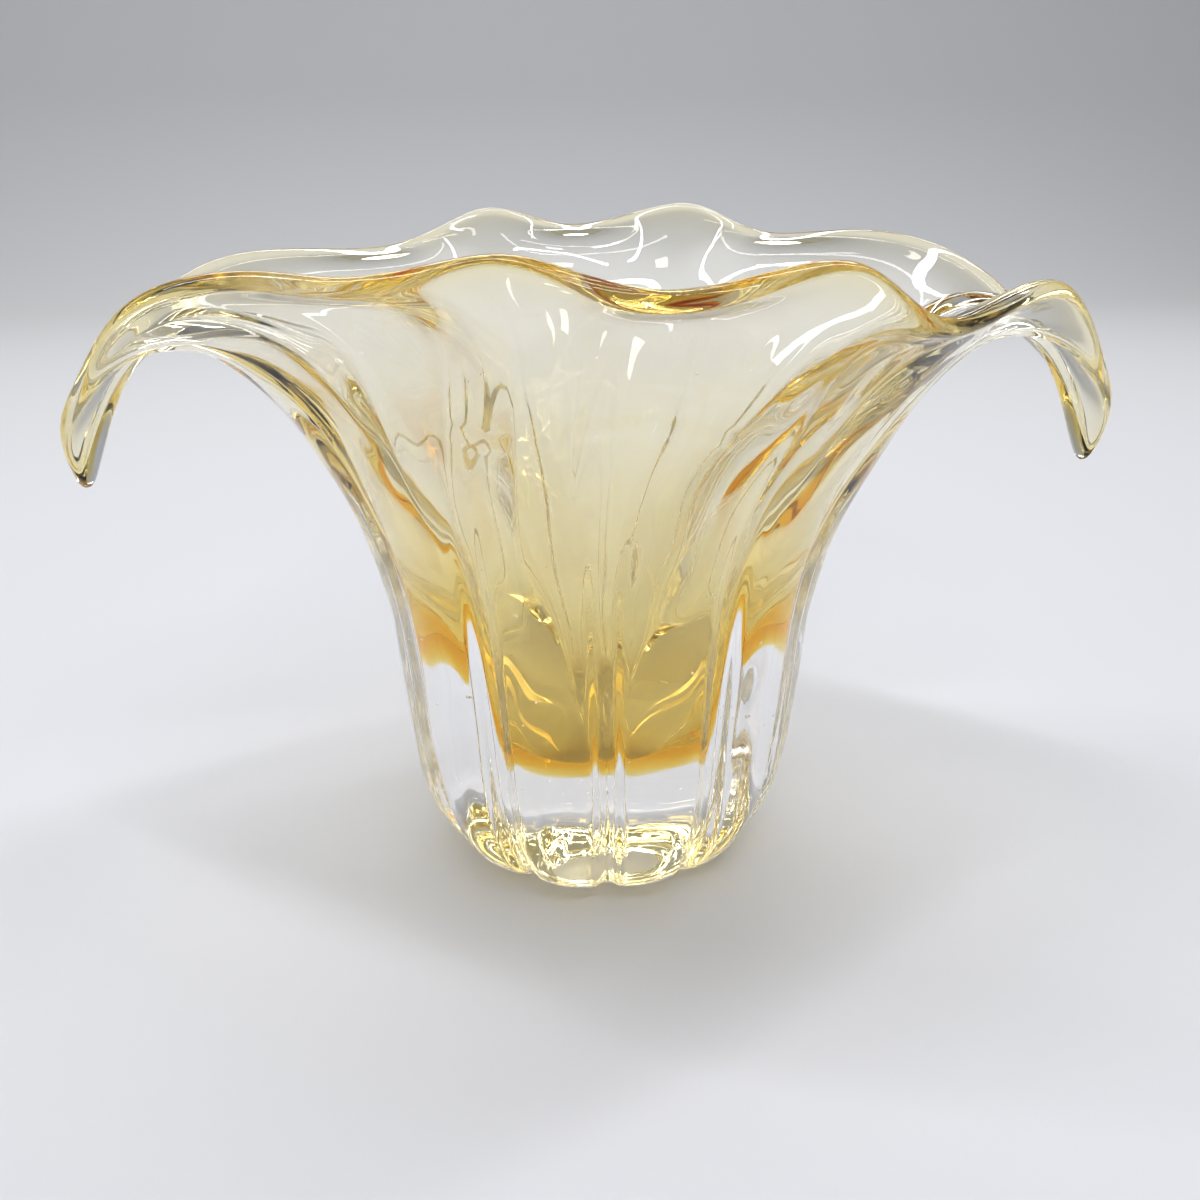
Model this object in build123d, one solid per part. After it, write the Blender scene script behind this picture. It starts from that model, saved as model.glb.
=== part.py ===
from build123d import *
import os
import numpy as np

# A hand-worked art glass bowl: a heavy clear gather over an amber one, blown into a
# twelve-fluted mould, opened out, then pulled at two opposite sides into drooping tips.
# Millimetres. The origin is the centre of the flat foot, +Z is up, +X runs to one
# pulled tip, and -Y is the front.

# Driving dimensions
FLUTES = 12
FOOT_RADIUS = 24.0
FLOOR_RADIUS = 6.0          # flat middle of the cavity floor
FLOOR_HEIGHT = 31.0         # top of the cavity floor above the table
FOOT_TURN = 3.0             # degrees by which the flutes lag behind the arms at the foot
NECK_TURN = 5.5             # and where the flare starts
RIM_THICKNESS = 4.0         # both layers, at the fire-polished rim
GUIDE_THICKNESS = 5.0       # both layers, half-way out along the flare
NECK_THICKNESS = 13.4       # both layers, where the flare starts
LINING_AT_RIM = 0.6
LINING_ON_FLARE = 0.35
LINING_AT_NECK = 0.6
LINING_UNDER_FLOOR = 3.8
NOTCH_SHARE = 0.65          # of a flute's depth that is a narrow notch; the rest is scallop
NOTCH_POWER = 4             # 2 gives the notch a bell shape, more a flatter floor and crisper edges

# How finely the free-form rings and meridians are drawn
RING_POINTS = 144
RING_CROWDING = 0.6         # 0 spaces them evenly, nearer 1 crowds them into the flutes
RIM_STEPS = 28              # rings from the foot or the floor up to the rim

# Outside of the clear casing from the foot up: radius over the ribs, height, depth of
# the flutes, half-width of a flute's notch
CASING_RINGS = [
    (FOOT_RADIUS, 0.0, 1.2, 2.2),
    (29.0, 0.0, 2.2, 2.4),
    (38.0, 3.0, 2.8, 2.6),
    (45.2, 22.0, 2.6, 2.7),
    (47.2, 48.0, 2.4, 2.8),
    (49.6, 76.0, 2.1, 3.0),
]
# The ring where the flare starts, in the same columns, and how much further the glass
# has been drawn out and up towards the two arms
NECK_RING = (56.5, 98.0, 1.0, 6.0)
NECK_DRAW_OUT = 9.0
NECK_DRAW_UP = 6.5
ARM_NARROWNESS = 12         # power of the cosine that fades the drawing out beside an arm
# Cavity wall from the floor up, in the same columns, then how far the lining reaches
# out and down behind it
CAVITY_RINGS = [
    (FLOOR_RADIUS, FLOOR_HEIGHT, 0.1, 5.0, 0.0, LINING_UNDER_FLOOR),
    (11.5, FLOOR_HEIGHT, 0.2, 5.0, 1.8, LINING_UNDER_FLOOR),
    (13.2, 32.5, 0.3, 5.0, 2.8, 2.4),
    (16.8, 40.0, 0.5, 5.0, 2.9, 0.0),
    (22.0, 52.0, 0.6, 6.0, 2.8, 0.0),
    (27.7, 65.0, 0.6, 6.0, 2.2, 0.0),
    (33.5, 78.5, 0.6, 6.0, 1.4, 0.0),
]

# Half the right arm's rim, from its tip to its shoulder: degrees round the bowl, x, y,
# z, then the slope of the flare there in degrees and how long that slope is held. The
# left arm is the same, but reaches a little less far.
LEFT_ARM_SHORTER = 2.5
ARM_RIM = [
    (0, 114.0, 0.0, 90.5, -66, 44),
    (4, 114.8, 5.0, 98.2, -58, 38),
    (9, 111.4, 10.0, 108.4, -45, 33),
    (15, 104.2, 16.5, 119.5, -12, 26),
    (22.5, 92.7, 25.0, 131.3, 20, 20),
]
# The rest of the rim, crests and wide turned-out dips by turns, the back then the front
WAVY_RIM = [
    (33, 73.0, 38.5, 138.0, 34, 15),
    (45, 53.0, 52.5, 136.0, 18, 13),
    (67.5, 29.5, 64.0, 144.0, 70, 19),
    (90, 1.0, 72.0, 137.3, 18, 13),
    (112.5, -23.0, 66.0, 143.0, 70, 19),
    (135, -49.5, 55.0, 133.5, 18, 13),
    (147, -70.0, 40.5, 134.8, 34, 15),
    (213, -69.0, -36.0, 137.6, 34, 15),
    (225, -50.0, -52.0, 137.6, 18, 13),
    (247.5, -22.0, -66.0, 143.5, 70, 19),
    (270, 4.0, -72.0, 137.3, 18, 13),
    (292.5, 35.0, -62.0, 141.5, 70, 19),
    (315, 58.0, -51.0, 129.5, 18, 13),
    (327, 75.0, -38.5, 132.8, 34, 15),
]

END_GAP = 1e-9              # keeps the last ring inside the last span
EVEN_TURN = np.arange(RING_POINTS) * 2 * np.pi / RING_POINTS
TURN = np.degrees(EVEN_TURN - RING_CROWDING * np.sin(FLUTES * EVEN_TURN) / FLUTES)


def periodic_spline(knots, values, at):
    """Cubic spline through the values, smooth across 360 degrees: the second
    derivatives at the knots solve the usual cyclic three-term equations."""
    gap = np.diff(np.append(knots, knots[0] + 360.0))
    before = np.roll(gap, 1)
    index = np.arange(len(knots))
    matrix = np.zeros((len(knots), len(knots)))
    matrix[index, index] = 2 * (before + gap)
    matrix[index, np.roll(index, -1)] = gap
    matrix[index, np.roll(index, 1)] = before
    slope = (np.roll(values, -1, axis=0) - values) / gap[:, None]
    bend = np.linalg.solve(matrix, 6 * (slope - np.roll(slope, 1, axis=0)))
    left = np.clip(np.searchsorted(knots, at, side="right") - 1, 0, None)
    right = (left + 1) % len(knots)
    width = gap[left][:, None]
    past = (at - knots[left])[:, None]
    rest = width - past
    cubic = (bend[left] * rest**3 + bend[right] * past**3) / (6 * width)
    chord_left = (values[left] / width - bend[left] * width / 6) * rest
    chord_right = (values[right] / width - bend[right] * width / 6) * past
    return cubic + chord_left + chord_right


def blend_rings(rings, shares):
    """Points of the clamped uniform cubic B-spline whose control points are the rings,
    at the given shares of its parameter, from 0 at the first ring to 1 at the last."""
    spans = len(rings) - 3
    knots = np.concatenate([np.zeros(3), np.arange(spans + 1), np.full(3, spans)])
    place = np.minimum(spans * shares, spans - END_GAP)
    basis = [((low <= place) & (place < high)) * 1.0 for low, high in zip(knots, knots[1:])]
    for degree in range(1, 4):
        raised = []
        for i in range(len(basis) - 1):
            rise = knots[i + degree] - knots[i]
            fall = knots[i + degree + 1] - knots[i + 1]
            up = (place - knots[i]) / rise * basis[i] if rise else 0 * place
            down = (knots[i + degree + 1] - place) / fall * basis[i + 1] if fall else 0 * place
            raised.append(up + down)
        basis = raised
    return np.einsum("kv,kuc->vuc", np.array(basis), np.array(rings))


def fluted_ring(radius, height, flute_depth, half_width):
    """A level ring of the mould-blown body, a little twisted from the foot up: a circle
    less a soft scallop and a narrow notch at each flute."""
    pitch = 360.0 / FLUTES
    off_flute = (TURN + pitch / 2) % pitch - pitch / 2
    notch = np.exp(-((np.radians(off_flute) * radius / half_width) ** NOTCH_POWER))
    scallop = (1 + np.cos(FLUTES * np.radians(TURN))) / 2
    reach = radius - flute_depth * (NOTCH_SHARE * notch + (1 - NOTCH_SHARE) * scallop)
    angle = np.radians(TURN - FOOT_TURN - (NECK_TURN - FOOT_TURN) * height / NECK_RING[1])
    return np.stack([reach * np.cos(angle), reach * np.sin(angle), np.full_like(reach, height)], axis=1)


def neck_ring():
    """The ring where the flare starts, drawn out and up towards the two arms."""
    ring = fluted_ring(*NECK_RING)
    arm = (np.cos(np.radians(TURN)) ** ARM_NARROWNESS)[:, None]
    outward = ring * [1, 1, 0] / NECK_RING[0]
    return ring + arm * (NECK_DRAW_OUT * outward + [0, 0, NECK_DRAW_UP])


def rim_stations():
    """All hand-placed rim points in order round the bowl: the half arm mirrored to
    the four quarters, and the wavy stretches between the arms."""
    rows = list(WAVY_RIM)
    for degrees, x, y, z, slope, hold in ARM_RIM:
        rows.append((degrees, x, y, z, slope, hold))
        rows.append((180 - degrees, LEFT_ARM_SHORTER - x, y, z, slope, hold))
        if degrees:
            rows.append((180 + degrees, LEFT_ARM_SHORTER - x, -y, z, slope, hold))
            rows.append((360 - degrees, x, -y, z, slope, hold))
    return np.array(sorted(rows))


def rim_and_guide():
    """The crest line of the rim, the direction in which the flare reaches it, and
    the guide ring that lies back along that direction."""
    degrees, x, y, z, slope, hold = rim_stations().T
    crest = np.stack([x, y, z], axis=1)
    heading = np.arctan2(y, x)
    tilt = np.radians(slope)
    out = np.stack([np.cos(heading) * np.cos(tilt), np.sin(heading) * np.cos(tilt), np.sin(tilt)], axis=1)
    crest_line = periodic_spline(degrees, crest, TURN)
    guide_line = periodic_spline(degrees, crest - hold[:, None] * out, TURN)
    away = crest_line - guide_line
    return crest_line, away / np.linalg.norm(away, axis=1)[:, None], guide_line


def normals(ring, along):
    """Unit normals towards the cavity, from the ring's own direction and the
    direction in which the meridians cross it."""
    around = np.roll(ring, -1, axis=0) - np.roll(ring, 1, axis=0)
    inward = np.cross(along, around)
    return inward / np.linalg.norm(inward, axis=1)[:, None]


CREST, FLARE_OUT, GUIDE = rim_and_guide()
NECK = neck_ring()
NECK_IN = normals(NECK, GUIDE - fluted_ring(*CASING_RINGS[-1]))
GUIDE_IN = normals(GUIDE, CREST - NECK)
RIM_IN = normals(CREST, FLARE_OUT)
RIM_ROOT = CREST - RIM_THICKNESS / 2 * FLARE_OUT


def flare_rings(neck_depth, guide_depth, rim_depth):
    """Control rings of one skin from the neck to the rim, at depths into the glass
    from the outside; the rim's depth is counted from the middle of the wall."""
    neck = NECK + neck_depth * NECK_IN
    guide = GUIDE + guide_depth * GUIDE_IN
    root = RIM_ROOT + rim_depth * RIM_IN
    return [neck, guide, root]


def loft_skin(rings):
    """A smooth skin through the B-spline's rings, with its first and last ring."""
    rows = blend_rings(rings, np.linspace(0, 1, RIM_STEPS + 1))
    parameters = list(np.append(TURN, 360.0))
    wires = [Wire([Edge.make_spline([tuple(p) for p in row], periodic=True, parameters=parameters)])
             for row in rows]
    return Shell.make_loft(wires).faces(), wires[0]


# The outer skin of the clear casing rounds over the rim to its crest line.
half_rim = RIM_THICKNESS / 2
outer_rings = [fluted_ring(*row) for row in CASING_RINGS]
outer_rings += flare_rings(0.0, 0.0, -half_rim)
outer_rings += [CREST - half_rim * RIM_IN, CREST]
outer_skin, foot_edge = loft_skin(outer_rings)

# The inner skin, the cavity wall, rounds over the rim from the other side.
inner_rings = [fluted_ring(*row[:4]) for row in CAVITY_RINGS]
inner_rings += flare_rings(NECK_THICKNESS, GUIDE_THICKNESS, half_rim)
inner_rings += [CREST + half_rim * RIM_IN, CREST]
inner_skin, floor_edge = loft_skin(inner_rings)

# The fused face between the layers lies behind the cavity wall by the lining's
# thickness, which is greatest under the floor, and ends in the crest of the rim.
fused_rings = [fluted_ring(radius + out, height - down, flute_depth, half_width)
               for radius, height, flute_depth, half_width, out, down in CAVITY_RINGS]
fused_rings += flare_rings(NECK_THICKNESS - LINING_AT_NECK, GUIDE_THICKNESS - LINING_ON_FLARE,
                           half_rim - LINING_AT_RIM)
fused_rings += [CREST - half_rim / 2 * FLARE_OUT, CREST]
fused_skin, pad_edge = loft_skin(fused_rings)

foot_face = Face(foot_edge)
floor_face = Face(floor_edge)
pad_face = Face(pad_edge)

clear_casing = Solid(Shell([*outer_skin, *fused_skin, foot_face, pad_face]))
amber_lining = Solid(Shell([*inner_skin, *fused_skin, floor_face, pad_face]))

os.makedirs("parts", exist_ok=True)
export_step(clear_casing, "parts/clear_casing.step")
export_step(amber_lining, "parts/amber_lining.step")
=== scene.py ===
import math

import bmesh
import bpy
import numpy as np
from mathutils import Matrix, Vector


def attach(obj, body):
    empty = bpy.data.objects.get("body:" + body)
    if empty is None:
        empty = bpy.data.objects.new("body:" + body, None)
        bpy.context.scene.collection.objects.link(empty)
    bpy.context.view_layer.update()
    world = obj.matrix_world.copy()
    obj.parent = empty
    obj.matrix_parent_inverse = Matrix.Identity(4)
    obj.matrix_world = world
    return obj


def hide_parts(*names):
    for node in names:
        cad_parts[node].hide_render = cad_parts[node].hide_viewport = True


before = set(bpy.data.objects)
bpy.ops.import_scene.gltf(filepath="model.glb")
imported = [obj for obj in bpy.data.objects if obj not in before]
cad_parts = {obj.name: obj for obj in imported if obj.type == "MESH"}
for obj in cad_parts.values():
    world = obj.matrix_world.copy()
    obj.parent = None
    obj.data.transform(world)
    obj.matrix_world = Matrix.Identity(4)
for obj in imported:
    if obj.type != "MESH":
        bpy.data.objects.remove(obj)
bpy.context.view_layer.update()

# Camera: level with a person who sits at the table, looking down into the mouth of
# the bowl, a little to the left of its front.
eye = Vector((-0.0261, -0.2486, 0.1605))
look_down = math.radians(22.0)
turn_right = math.radians(6.0)
camera_data = bpy.data.cameras.new("camera")
camera_data.sensor_width = 36.0
camera_data.lens = 34.5
camera_data.clip_start = 0.01
camera = bpy.data.objects.new("camera", camera_data)
camera.location = eye
camera.rotation_euler = (math.radians(90.0) - look_down, 0.0, -turn_right)
bpy.context.scene.collection.objects.link(camera)
bpy.context.scene.camera = camera

# Studio: a pale matt floor that curves up into a backdrop, under a soft even sky.


def linear(code, alpha=1.0):
    """sRGB hex code to the linear RGBA that Blender's sockets take."""
    parts = np.array([int(code[i : i + 2], 16) for i in (1, 3, 5)]) / 255.0
    low = parts / 12.92
    high = ((parts + 0.055) / 1.055) ** 2.4
    return (*np.where(parts <= 0.04045, low, high), alpha)


def add_node(tree, kind, values=None, **settings):
    """Add a node, set its attributes from the settings, then each named input to
    its value, or link it where the value is another node's output."""
    node = tree.nodes.new(kind)
    for name, value in settings.items():
        setattr(node, name, value)
    for name, value in (values or {}).items():
        if isinstance(value, bpy.types.NodeSocket):
            tree.links.new(value, node.inputs[name])
        else:
            node.inputs[name].default_value = value
    return node


def new_material(name):
    """An empty node material, its tree and its output node."""
    material = bpy.data.materials.new(name)
    material.use_nodes = True
    material.node_tree.nodes.clear()
    output = add_node(material.node_tree, "ShaderNodeOutputMaterial")
    return material, material.node_tree, output


def grid_faces(rows, columns, closed=False):
    """The quads of a grid of points, row by row; a closed grid also joins its last
    column to its first."""
    index = np.arange(rows * columns).reshape(rows, columns)
    if closed:
        index = np.concatenate([index, index[:, :1]], axis=1)
    corners = [index[:-1, :-1], index[:-1, 1:], index[1:, 1:], index[1:, :-1]]
    return np.stack(corners, axis=-1).reshape(-1, 4)


def mesh_of(name, points, *face_sets):
    """A mesh of all the points, and of arrays of faces with three or four corners."""
    mesh = bpy.data.meshes.new(name)
    faces = [face for face_set in face_sets for face in face_set.tolist()]
    mesh.from_pydata(points.reshape(-1, 3).tolist(), [], faces)
    mesh.update()
    return mesh


def show(name, mesh, material):
    """Put a finished mesh in the scene, smooth and in its material."""
    mesh.materials.append(material)
    mesh.polygons.foreach_set("use_smooth", np.ones(len(mesh.polygons), bool))
    piece = bpy.data.objects.new(name, mesh)
    bpy.context.scene.collection.objects.link(piece)
    return piece


FLOOR_DROP = 0.0002         # keeps the floor just clear of the foot
floor_half = 1.6
wall_start = 0.9
wall_height = 1.5
cove_radius = 0.5
cove = np.linspace(0.0, math.pi / 2, 24)
cove_y = wall_start + cove_radius * np.sin(cove)
cove_z = cove_radius * (1 - np.cos(cove))
profile_y = np.concatenate([[-floor_half, 0.0], cove_y, [wall_start + cove_radius]])
profile_z = np.concatenate([[0.0, 0.0], cove_z, [wall_height]]) - FLOOR_DROP
floor_x = np.linspace(-floor_half, floor_half, 9)
sweep = np.stack(np.broadcast_arrays(floor_x, profile_y[:, None], profile_z[:, None]), axis=-1)
floor_paint, tree, output = new_material("pale_studio_paint")
paint = add_node(tree, "ShaderNodeBsdfPrincipled", {"Base Color": linear("#DAD9D6"), "Roughness": 0.65})
tree.links.new(paint.outputs["BSDF"], output.inputs["Surface"])
floor = show("floor", mesh_of("floor", sweep, grid_faces(*sweep.shape[:2])), floor_paint)

SKY_STRENGTH = 0.42
world = bpy.data.worlds.new("studio")
world.use_nodes = True
bpy.context.scene.world = world
world.node_tree.nodes["Background"].inputs["Color"].default_value = linear("#E8ECF2")
world.node_tree.nodes["Background"].inputs["Strength"].default_value = SKY_STRENGTH


def soft_light(name, place, target, width, depth, watts, colour="#FFFFFF"):
    """A rectangular area light at a place, turned to face a target."""
    data = bpy.data.lights.new(name, "AREA")
    data.shape = "RECTANGLE"
    data.size = width
    data.size_y = depth
    data.energy = watts
    data.color = linear(colour)[:3]
    lamp = bpy.data.objects.new(name, data)
    lamp.location = place
    lamp.rotation_euler = (Vector(target) - Vector(place)).to_track_quat("-Z", "Y").to_euler()
    bpy.context.scene.collection.objects.link(lamp)


# Narrow strips, overhead and at the sides, give the long thin highlights of clear glass.
middle = (0.0, 0.0, 0.07)
soft_light("window_panel", (-0.14, -0.85, 0.66), middle, 0.16, 0.12, 1.2)
soft_light("front_strip", (0.1, -0.6, 0.95), middle, 0.8, 0.04, 2.2, "#EEF0FF")
soft_light("ceiling_strip", (-0.1, -0.12, 1.15), middle, 0.9, 0.04, 2.5, "#EEF0FF")
soft_light("left_strip", (-0.55, 0.15, 1.0), middle, 0.05, 1.0, 3.2, "#EEF0FF")
soft_light("right_strip", (0.5, 0.25, 1.0), middle, 0.05, 1.0, 3.2, "#EEF0FF")
soft_light("back_strip", (0.0, 0.9, 0.75), middle, 1.4, 0.1, 4.0)
bpy.context.scene.view_settings.view_transform = "Standard"

# Light crosses and is thrown back inside thick glass many times before it gets out.
GLASS_BOUNCES = 32
bpy.context.scene.cycles.max_bounces = GLASS_BOUNCES
bpy.context.scene.cycles.transmission_bounces = GLASS_BOUNCES
bpy.context.scene.cycles.glossy_bounces = GLASS_BOUNCES

# Clear casing: the heavy outer gather of clear crystal, blown into a twelve-fluted mould,
# opened out hot and pulled at two sides into tips. Its mesh is the whole glass body, out
# to the air on both sides, since the two fused layers bend light alike.
MM = 0.001                  # the sizes below are in mm, and the meshes in metres
FLUTES = 12
FOOT_RADIUS = 24.0
FLOOR_RADIUS = 6.0          # flat middle of the cavity floor
FLOOR_HEIGHT = 31.0         # top of the cavity floor above the table
FOOT_TURN = 3.0             # degrees by which the flutes lag behind the arms at the foot
NECK_TURN = 5.5             # and where the flare starts
RIM_THICKNESS = 4.0         # both layers, at the fire-polished rim
GUIDE_THICKNESS = 5.0       # both layers, half-way out along the flare
NECK_THICKNESS = 13.4       # both layers, where the flare starts
LINING_UNDER_FLOOR = 3.8
NOTCH_SHARE = 0.65          # of a flute's depth that is a narrow notch; the rest is scallop
NOTCH_POWER = 4             # 2 gives the notch a bell shape, more a flatter floor and crisper edges

# How finely the free-form rings and meridians are drawn
RING_POINTS = 384
RING_CROWDING = 0.6         # 0 spaces them evenly, nearer 1 crowds them into the flutes
RIM_STEPS = 126             # rings from the foot or the floor up to the rim

# Outside of the clear casing from the foot up: radius over the ribs, height, depth of
# the flutes, half-width of a flute's notch
CASING_RINGS = [
    (FOOT_RADIUS, 0.0, 1.2, 2.2),
    (29.0, 0.0, 2.2, 2.4),
    (38.0, 3.0, 2.8, 2.6),
    (45.2, 22.0, 2.6, 2.7),
    (47.2, 48.0, 2.4, 2.8),
    (49.6, 76.0, 2.1, 3.0),
]
# The ring where the flare starts, in the same columns, and how much further the glass
# has been drawn out and up towards the two arms
NECK_RING = (56.5, 98.0, 1.0, 6.0)
NECK_DRAW_OUT = 9.0
NECK_DRAW_UP = 6.5
ARM_NARROWNESS = 12         # power of the cosine that fades the drawing out beside an arm
# Cavity wall from the floor up, in the same columns, then how far the lining reaches
# out and down behind it
CAVITY_RINGS = [
    (FLOOR_RADIUS, FLOOR_HEIGHT, 0.1, 5.0, 0.0, LINING_UNDER_FLOOR),
    (11.5, FLOOR_HEIGHT, 0.2, 5.0, 1.8, LINING_UNDER_FLOOR),
    (13.2, 32.5, 0.3, 5.0, 2.8, 2.4),
    (16.8, 40.0, 0.5, 5.0, 2.9, 0.0),
    (22.0, 52.0, 0.6, 6.0, 2.8, 0.0),
    (27.7, 65.0, 0.6, 6.0, 2.2, 0.0),
    (33.5, 78.5, 0.6, 6.0, 1.4, 0.0),
]

# Half the right arm's rim, from its tip to its shoulder: degrees round the bowl, x, y,
# z, then the slope of the flare there in degrees and how long that slope is held. The
# left arm is the same, but reaches a little less far.
LEFT_ARM_SHORTER = 2.5
ARM_RIM = [
    (0, 114.0, 0.0, 90.5, -66, 44),
    (4, 114.8, 5.0, 98.2, -58, 38),
    (9, 111.4, 10.0, 108.4, -45, 33),
    (15, 104.2, 16.5, 119.5, -12, 26),
    (22.5, 92.7, 25.0, 131.3, 20, 20),
]
# The rest of the rim, crests and wide turned-out dips by turns, the back then the front
WAVY_RIM = [
    (33, 73.0, 38.5, 138.0, 34, 15),
    (45, 53.0, 52.5, 136.0, 18, 13),
    (67.5, 29.5, 64.0, 144.0, 70, 19),
    (90, 1.0, 72.0, 137.3, 18, 13),
    (112.5, -23.0, 66.0, 143.0, 70, 19),
    (135, -49.5, 55.0, 133.5, 18, 13),
    (147, -70.0, 40.5, 134.8, 34, 15),
    (213, -69.0, -36.0, 137.6, 34, 15),
    (225, -50.0, -52.0, 137.6, 18, 13),
    (247.5, -22.0, -66.0, 143.5, 70, 19),
    (270, 4.0, -72.0, 137.3, 18, 13),
    (292.5, 35.0, -62.0, 141.5, 70, 19),
    (315, 58.0, -51.0, 129.5, 18, 13),
    (327, 75.0, -38.5, 132.8, 34, 15),
]

END_GAP = 1e-9              # keeps the last ring inside the last span
EVEN_TURN = np.arange(RING_POINTS) * 2 * np.pi / RING_POINTS
TURN = np.degrees(EVEN_TURN - RING_CROWDING * np.sin(FLUTES * EVEN_TURN) / FLUTES)


def periodic_spline(knots, values, at):
    """Cubic spline through the values, smooth across 360 degrees: the second
    derivatives at the knots solve the usual cyclic three-term equations."""
    gap = np.diff(np.append(knots, knots[0] + 360.0))
    before = np.roll(gap, 1)
    index = np.arange(len(knots))
    matrix = np.zeros((len(knots), len(knots)))
    matrix[index, index] = 2 * (before + gap)
    matrix[index, np.roll(index, -1)] = gap
    matrix[index, np.roll(index, 1)] = before
    slope = (np.roll(values, -1, axis=0) - values) / gap[:, None]
    bend = np.linalg.solve(matrix, 6 * (slope - np.roll(slope, 1, axis=0)))
    left = np.clip(np.searchsorted(knots, at, side="right") - 1, 0, None)
    right = (left + 1) % len(knots)
    width = gap[left][:, None]
    past = (at - knots[left])[:, None]
    rest = width - past
    cubic = (bend[left] * rest**3 + bend[right] * past**3) / (6 * width)
    chord_left = (values[left] / width - bend[left] * width / 6) * rest
    chord_right = (values[right] / width - bend[right] * width / 6) * past
    return cubic + chord_left + chord_right


def blend_rings(rings, shares):
    """Points of the clamped uniform cubic B-spline whose control points are the rings,
    at the given shares of its parameter, from 0 at the first ring to 1 at the last."""
    spans = len(rings) - 3
    knots = np.concatenate([np.zeros(3), np.arange(spans + 1), np.full(3, spans)])
    place = np.minimum(spans * shares, spans - END_GAP)
    basis = [((low <= place) & (place < high)) * 1.0 for low, high in zip(knots, knots[1:])]
    for degree in range(1, 4):
        raised = []
        for i in range(len(basis) - 1):
            rise = knots[i + degree] - knots[i]
            fall = knots[i + degree + 1] - knots[i + 1]
            up = (place - knots[i]) / rise * basis[i] if rise else 0 * place
            down = (knots[i + degree + 1] - place) / fall * basis[i + 1] if fall else 0 * place
            raised.append(up + down)
        basis = raised
    return np.einsum("kv,kuc->vuc", np.array(basis), np.array(rings))


def fluted_ring(radius, height, flute_depth, half_width):
    """A level ring of the mould-blown body, a little twisted from the foot up: a circle
    less a soft scallop and a narrow notch at each flute."""
    pitch = 360.0 / FLUTES
    off_flute = (TURN + pitch / 2) % pitch - pitch / 2
    notch = np.exp(-((np.radians(off_flute) * radius / half_width) ** NOTCH_POWER))
    scallop = (1 + np.cos(FLUTES * np.radians(TURN))) / 2
    reach = radius - flute_depth * (NOTCH_SHARE * notch + (1 - NOTCH_SHARE) * scallop)
    angle = np.radians(TURN - FOOT_TURN - (NECK_TURN - FOOT_TURN) * height / NECK_RING[1])
    return np.stack([reach * np.cos(angle), reach * np.sin(angle), np.full_like(reach, height)], axis=1)


def neck_ring():
    """The ring where the flare starts, drawn out and up towards the two arms."""
    ring = fluted_ring(*NECK_RING)
    arm = (np.cos(np.radians(TURN)) ** ARM_NARROWNESS)[:, None]
    outward = ring * [1, 1, 0] / NECK_RING[0]
    return ring + arm * (NECK_DRAW_OUT * outward + [0, 0, NECK_DRAW_UP])


def rim_stations():
    """All listed rim points in order round the bowl: the half arm mirrored to
    the four quarters, and the wavy stretches between the arms."""
    rows = list(WAVY_RIM)
    for degrees, x, y, z, slope, hold in ARM_RIM:
        rows.append((degrees, x, y, z, slope, hold))
        rows.append((180 - degrees, LEFT_ARM_SHORTER - x, y, z, slope, hold))
        if degrees:
            rows.append((180 + degrees, LEFT_ARM_SHORTER - x, -y, z, slope, hold))
            rows.append((360 - degrees, x, -y, z, slope, hold))
    return np.array(sorted(rows))


def rim_and_guide():
    """The crest line of the rim, the direction in which the flare reaches it, and
    the guide ring that lies back along that direction."""
    degrees, x, y, z, slope, hold = rim_stations().T
    crest = np.stack([x, y, z], axis=1)
    heading = np.arctan2(y, x)
    tilt = np.radians(slope)
    out = np.stack([np.cos(heading) * np.cos(tilt), np.sin(heading) * np.cos(tilt), np.sin(tilt)], axis=1)
    crest_line = periodic_spline(degrees, crest, TURN)
    guide_line = periodic_spline(degrees, crest - hold[:, None] * out, TURN)
    away = crest_line - guide_line
    return crest_line, away / np.linalg.norm(away, axis=1)[:, None], guide_line


def normals(ring, along):
    """Unit normals towards the cavity, from the ring's own direction and the
    direction in which the meridians cross it."""
    around = np.roll(ring, -1, axis=0) - np.roll(ring, 1, axis=0)
    inward = np.cross(along, around)
    return inward / np.linalg.norm(inward, axis=1)[:, None]


CREST, FLARE_OUT, GUIDE = rim_and_guide()
NECK = neck_ring()
NECK_IN = normals(NECK, GUIDE - fluted_ring(*CASING_RINGS[-1]))
GUIDE_IN = normals(GUIDE, CREST - NECK)
RIM_IN = normals(CREST, FLARE_OUT)
RIM_ROOT = CREST - RIM_THICKNESS / 2 * FLARE_OUT


def flare_rings(neck_depth, guide_depth, rim_depth):
    """Control rings of one skin from the neck to the rim, at depths into the glass
    from the outside; the rim's depth is counted from the middle of the wall."""
    neck = NECK + neck_depth * NECK_IN
    guide = GUIDE + guide_depth * GUIDE_IN
    root = RIM_ROOT + rim_depth * RIM_IN
    return [neck, guide, root]


def closed_vessel(outside, inside):
    """Points in metres and faces of a vessel whose two skins both end in the rim's
    crest: up the outside, down the inside, and a fan over the ring at each end."""
    skins = np.concatenate([outside, inside[-2::-1]])
    rows, columns = skins.shape[:2]
    points = skins.reshape(-1, 3)
    first = np.arange(columns)
    last = first + (rows - 1) * columns
    ends = [points[first].mean(axis=0), points[last].mean(axis=0)]
    foot_fan = np.stack([np.roll(first, -1), first, np.full(columns, len(points))], axis=1)
    floor_fan = np.stack([last, np.roll(last, -1), np.full(columns, len(points) + 1)], axis=1)
    quads = grid_faces(rows, columns, closed=True)
    return np.concatenate([points, ends]) * MM, [quads, foot_fan, floor_fan]


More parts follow.
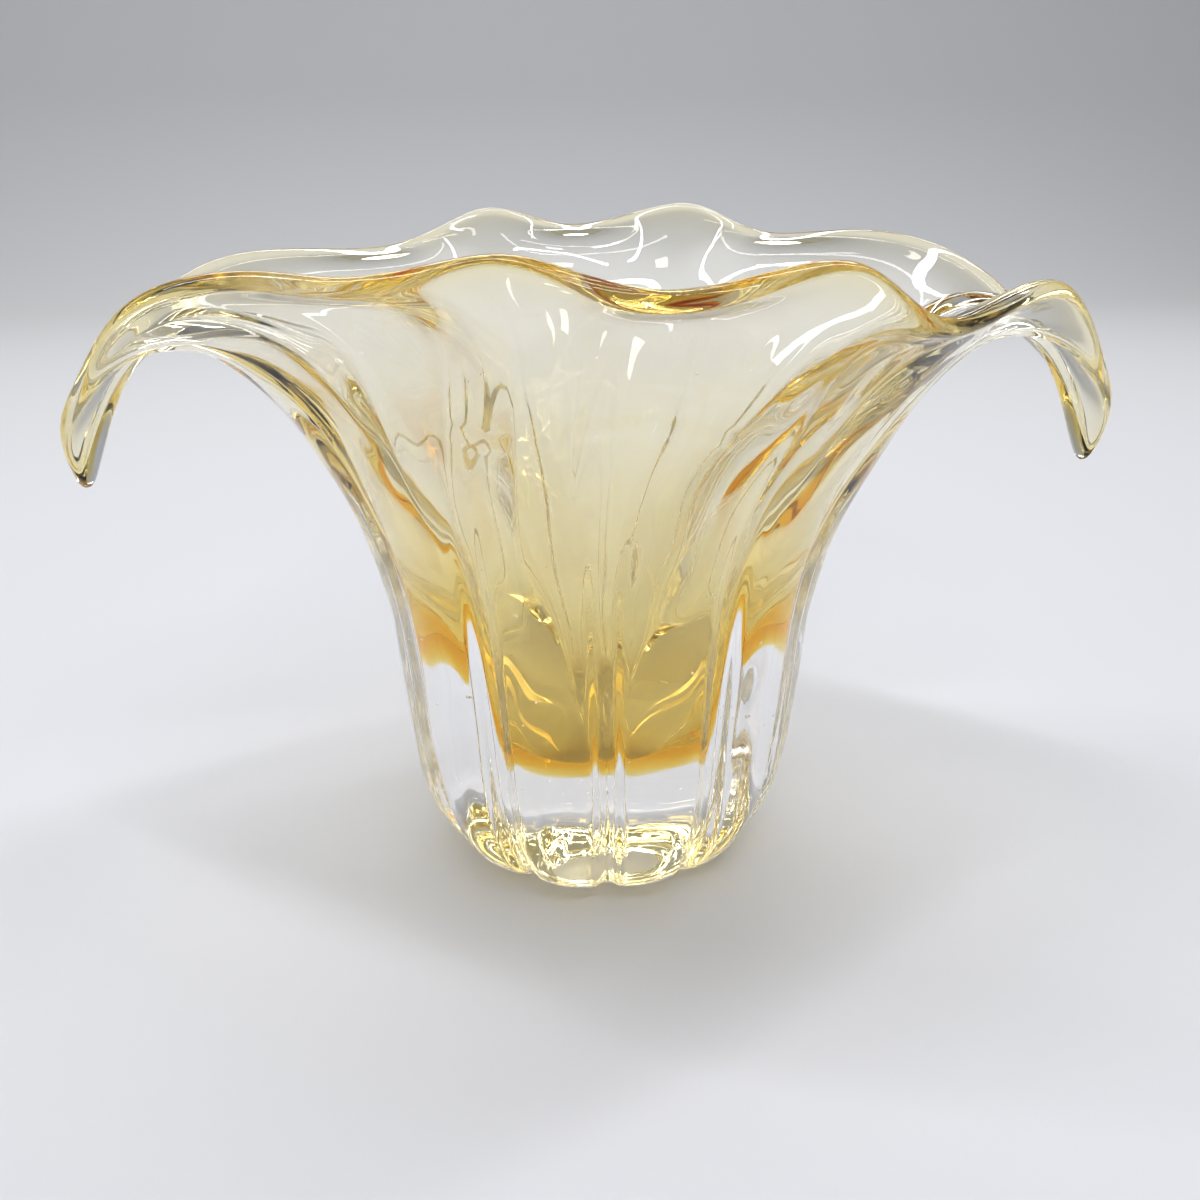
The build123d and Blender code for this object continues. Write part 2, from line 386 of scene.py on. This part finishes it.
def even_rows(rings, evenness=0.7):
    """Shares of a skin's parameter for its rows: part even along the mean meridian,
    and the rest even in the parameter, which crowds rows at the round of the rim."""
    fine = np.linspace(0, 1, 20 * RIM_STEPS + 1)
    mean = np.array(rings)[:, :: RING_POINTS // (2 * FLUTES)]
    step = np.linalg.norm(np.diff(blend_rings(mean, fine), axis=0), axis=2).mean(axis=1)
    length = np.append(0.0, np.cumsum(step)) / step.sum()
    return np.interp(np.linspace(0, 1, RIM_STEPS + 1), evenness * length + (1 - evenness) * fine, fine)


RIPPLES = [(2, 6.0), (3, -9.0), (5, 4.5), (9, -3.5)]     # waves round the bowl, mm of height
RIPPLE_DEPTH = 0.05         # of each wave, in mm
CAVITY_STIR = 2.0           # how much stronger they are at the cavity floor
CALM_REACH = 12.0           # mm over which they change near the cavity floor, axis and foot
CHILL_HEIGHT = 113.0        # where the mould's lip left a fine ridge round the outside
CHILL_RIDGE = 0.2           # its height, in mm, which is one row of points wide
CHILL_FADE = 8              # power of the sine that fades it away towards the two arms


def skin(rings, stirring=0.0, ridge=0.0):
    """All points of one skin of the glass, moved along its own normals by crossed sine
    waves of the turn and the height. Stirring makes them stronger near the cavity
    floor, they fade out at the foot, axis and rim, and one row can stand up in a ridge."""
    points = blend_rings(rings, even_rows(rings))
    around = np.roll(points, -1, axis=1) - np.roll(points, 1, axis=1)
    normal = np.cross(around, np.gradient(points, axis=0))
    normal /= np.linalg.norm(normal, axis=2)[..., None]
    turn = np.arctan2(points[..., 1], points[..., 0])
    height = points[..., 2]
    waves = sum(np.sin(count * turn + height / length) for count, length in RIPPLES)
    stirred = 1 + stirring * np.exp(-np.abs(height - FLOOR_HEIGHT) / CALM_REACH)
    at_rim = 1 - np.linspace(0, 1, len(points))[:, None] ** 4
    at_axis = np.minimum(1, np.hypot(points[..., 0], points[..., 1]) / CALM_REACH)
    at_foot = np.minimum(1, height / CALM_REACH)
    move = RIPPLE_DEPTH * waves * stirred * at_rim * at_axis * at_foot
    lip = np.argmin(np.abs(height.mean(axis=1) - CHILL_HEIGHT))
    move[lip] += ridge * np.sin(turn[lip]) ** CHILL_FADE
    return points + move[..., None] * normal


SEEDS = 60                  # tiny air bubbles caught in the thick glass
SEED_MARGIN = 4.0           # mm that they stay clear of both skins
SEED_LOWEST = 6.0           # mm above the foot
SEED_RADII = (0.12, 0.4)    # smallest and largest, in mm
SEED_ORDER = 7              # starts the random draws, the same each time


def seed_bubbles():
    """Points in metres and faces of the bubbles: small icospheres spread between the
    cavity and the outside, their faces turned towards the air inside them."""
    ball = bmesh.new()
    bmesh.ops.create_icosphere(ball, subdivisions=2, radius=1.0)
    points = np.array([corner.co for corner in ball.verts])
    faces = np.array([[corner.index for corner in face.verts] for face in ball.faces])
    ball.free()
    chance = np.random.default_rng(SEED_ORDER)
    height = chance.uniform(SEED_LOWEST, NECK_RING[1] - SEED_MARGIN, SEEDS)
    turn = chance.uniform(0.0, 2 * math.pi, SEEDS)
    casing = np.array(CASING_RINGS[1:])
    cavity = np.array(CAVITY_RINGS[2:])
    outside = np.interp(height, casing[:, 1], casing[:, 0])
    inside = np.interp(height, cavity[:, 1], cavity[:, 0] + cavity[:, 4])
    nearest = np.where(height < FLOOR_HEIGHT - 2 * SEED_MARGIN, 0.0, inside + SEED_MARGIN)
    reach = nearest + chance.uniform(0.0, 1.0, SEEDS) * (outside - SEED_MARGIN - nearest)
    radius = chance.uniform(*SEED_RADII, SEEDS)
    centre = np.stack([reach * np.cos(turn), reach * np.sin(turn), height], axis=1)
    bubbles = centre[:, None] + radius[:, None, None] * points
    numbered = faces[:, ::-1] + len(points) * np.arange(SEEDS)[:, None, None]
    return bubbles.reshape(-1, 3) * MM, numbered.reshape(-1, 3)


half_rim = RIM_THICKNESS / 2
outer_rings = [fluted_ring(*row) for row in CASING_RINGS] + flare_rings(0.0, 0.0, -half_rim)
outer_rings += [CREST - half_rim * RIM_IN, CREST]
inner_rings = [fluted_ring(*row[:4]) for row in CAVITY_RINGS]
inner_rings += flare_rings(NECK_THICKNESS, GUIDE_THICKNESS, half_rim)
inner_rings += [CREST + half_rim * RIM_IN, CREST]
vessel_points, vessel_faces = closed_vessel(
    skin(outer_rings, ridge=CHILL_RIDGE), skin(inner_rings, CAVITY_STIR))
seed_points, seed_faces = seed_bubbles()
all_points = np.concatenate([vessel_points, seed_points])
clear_mesh = mesh_of("clear_casing_glass", all_points, *vessel_faces, seed_faces + len(vessel_points))

# Blown and fire-polished crystal: mirror-smooth where nothing has touched it, so it shows
# only sharp reflections and what is behind it. Handling has left a slight haze of fine
# scratches round the heel, which stands nearest to the table.
HAZE_GRAIN = 0.6 * MM
HAZE_TOP = 9.0 * MM
clear_glass, tree, output = new_material("clear_blown_crystal")
place = add_node(tree, "ShaderNodeTexCoord").outputs["Object"]
axes = add_node(tree, "ShaderNodeSeparateXYZ", {"Vector": place}).outputs
grain = add_node(tree, "ShaderNodeTexNoise", {"Vector": place, "Scale": 1 / HAZE_GRAIN, "Detail": 3.0})
rubbed = add_node(tree, "ShaderNodeMapRange", {
    "Value": grain.outputs["Fac"], "From Min": 0.45, "From Max": 0.7, "To Min": 0.0, "To Max": 0.12})
heel = add_node(tree, "ShaderNodeMapRange", {
    "Value": axes["Z"], "From Min": 0.0, "From Max": HAZE_TOP, "To Min": 1.0, "To Max": 0.0})
haze = add_node(tree, "ShaderNodeMath", operation="MULTIPLY")
tree.links.new(rubbed.outputs["Result"], haze.inputs[0])
tree.links.new(heel.outputs["Result"], haze.inputs[1])
glass = add_node(tree, "ShaderNodeBsdfPrincipled", {
    "Base Color": (1.0, 1.0, 1.0, 1.0), "Roughness": haze.outputs["Value"], "IOR": 1.5,
    "Transmission Weight": 1.0})
tree.links.new(glass.outputs["BSDF"], output.inputs["Surface"])
clear_casing = show("clear_casing_glass", clear_mesh, clear_glass)

# The flat of the foot is ground on a wheel: a fine white grain that scatters light in
# all directions, worn smoother in patches where the bowl has stood and been slid.
FOOT_FACE_TOP = 0.02 * MM
GRIND_GRAIN = 0.25 * MM
WORN_PATCH = 9.0 * MM
ground_glass, tree, output = new_material("ground_crystal_foot")
place = add_node(tree, "ShaderNodeTexCoord").outputs["Object"]
grind = add_node(tree, "ShaderNodeTexNoise", {"Vector": place, "Scale": 1 / GRIND_GRAIN, "Detail": 2.0})
patches = add_node(tree, "ShaderNodeTexNoise", {"Vector": place, "Scale": 1 / WORN_PATCH, "Detail": 4.0})
worn = add_node(tree, "ShaderNodeMapRange", {
    "Value": patches.outputs["Fac"], "From Min": 0.35, "From Max": 0.65, "To Min": 0.3, "To Max": 0.55})
relief = add_node(tree, "ShaderNodeBump", {
    "Height": grind.outputs["Fac"], "Strength": 0.4, "Distance": 0.05 * MM})
ground = add_node(tree, "ShaderNodeBsdfPrincipled", {
    "Base Color": linear("#F4F4F0"), "Roughness": worn.outputs["Result"], "IOR": 1.5,
    "Transmission Weight": 0.5, "Normal": relief.outputs["Normal"]})
tree.links.new(ground.outputs["BSDF"], output.inputs["Surface"])
clear_mesh.materials.append(ground_glass)
centres = np.empty(3 * len(clear_mesh.polygons))
clear_mesh.polygons.foreach_get("center", centres)
on_foot = centres.reshape(-1, 3)[:, 2] < FOOT_FACE_TOP
clear_mesh.polygons.foreach_set("material_index", on_foot.astype(np.int32))
clear_mesh.update()
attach(clear_casing, "root")
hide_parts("clear_casing")

# Amber lining: the inner gather of transparent amber glass, thickest under the floor
# of the cavity and thin up the flare. It is fused to the casing, so light bends only
# at the air; here it colours the light that passes.
LINING_AT_RIM = 0.6         # thicknesses in mm
LINING_ON_FLARE = 0.35
LINING_AT_NECK = 0.6
SKIN_GAP = 0.08             # depth of the colour under the cavity wall
LINING_STIR = 5.0           # more than the cavity's, so the depth of colour varies low down

front_rings = [fluted_ring(radius + SKIN_GAP, height - SKIN_GAP, flute_depth, half_width)
               for radius, height, flute_depth, half_width, out, down in CAVITY_RINGS]
back_rings = [fluted_ring(radius + out, height - down, flute_depth, half_width)
              for radius, height, flute_depth, half_width, out, down in CAVITY_RINGS]
front_rings += flare_rings(NECK_THICKNESS - SKIN_GAP, GUIDE_THICKNESS - SKIN_GAP, half_rim - SKIN_GAP)
back_rings += flare_rings(NECK_THICKNESS - LINING_AT_NECK, GUIDE_THICKNESS - LINING_ON_FLARE,
                          half_rim - LINING_AT_RIM)
lining_crest = CREST - SKIN_GAP * FLARE_OUT
front_rings += [lining_crest + (half_rim - SKIN_GAP) * RIM_IN, lining_crest]
back_rings += [lining_crest - half_rim / 2 * FLARE_OUT, lining_crest]
lining_points, lining_faces = closed_vessel(
    skin(back_rings, LINING_STIR), skin(front_rings, CAVITY_STIR))
amber_mesh = mesh_of("amber_lining_glass", lining_points, *lining_faces)

# Transparent amber glass, blown: the colour is in its depth, a clear straw where it is
# thin and a deep orange where it is seen end on. The gather was turned on the pipe, which
# draws faint cords, or streaks, up through it.
CORD_ACROSS = 2.5 * MM
CORD_ALONG = 45.0 * MM
amber_glass, tree, output = new_material("amber_blown_glass")
place = add_node(tree, "ShaderNodeTexCoord").outputs["Object"]
drawn_up = add_node(tree, "ShaderNodeMapping", {
    "Vector": place, "Scale": (1 / CORD_ACROSS, 1 / CORD_ACROSS, 1 / CORD_ALONG)})
cords = add_node(tree, "ShaderNodeTexNoise", {
    "Vector": drawn_up.outputs["Vector"], "Scale": 1.0, "Detail": 2.0, "Distortion": 0.4})
streaks = add_node(tree, "ShaderNodeValToRGB", {"Fac": cords.outputs["Fac"]})
streaks.color_ramp.elements[0].position = 0.28
streaks.color_ramp.elements[0].color = linear("#FFFEF8")
streaks.color_ramp.elements[1].position = 0.42
streaks.color_ramp.elements[1].color = linear("#FFFFFF")
amber = add_node(tree, "ShaderNodeBsdfPrincipled", {
    "Base Color": streaks.outputs["Color"], "Roughness": 0.0, "IOR": 1.0,
    "Transmission Weight": 1.0})
tint = add_node(tree, "ShaderNodeVolumeAbsorption", {"Color": linear("#FBE841"), "Density": 240.0})
tree.links.new(amber.outputs["BSDF"], output.inputs["Surface"])
tree.links.new(tint.outputs["Volume"], output.inputs["Volume"])
amber_lining = show("amber_lining_glass", amber_mesh, amber_glass)
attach(amber_lining, "root")
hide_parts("amber_lining")
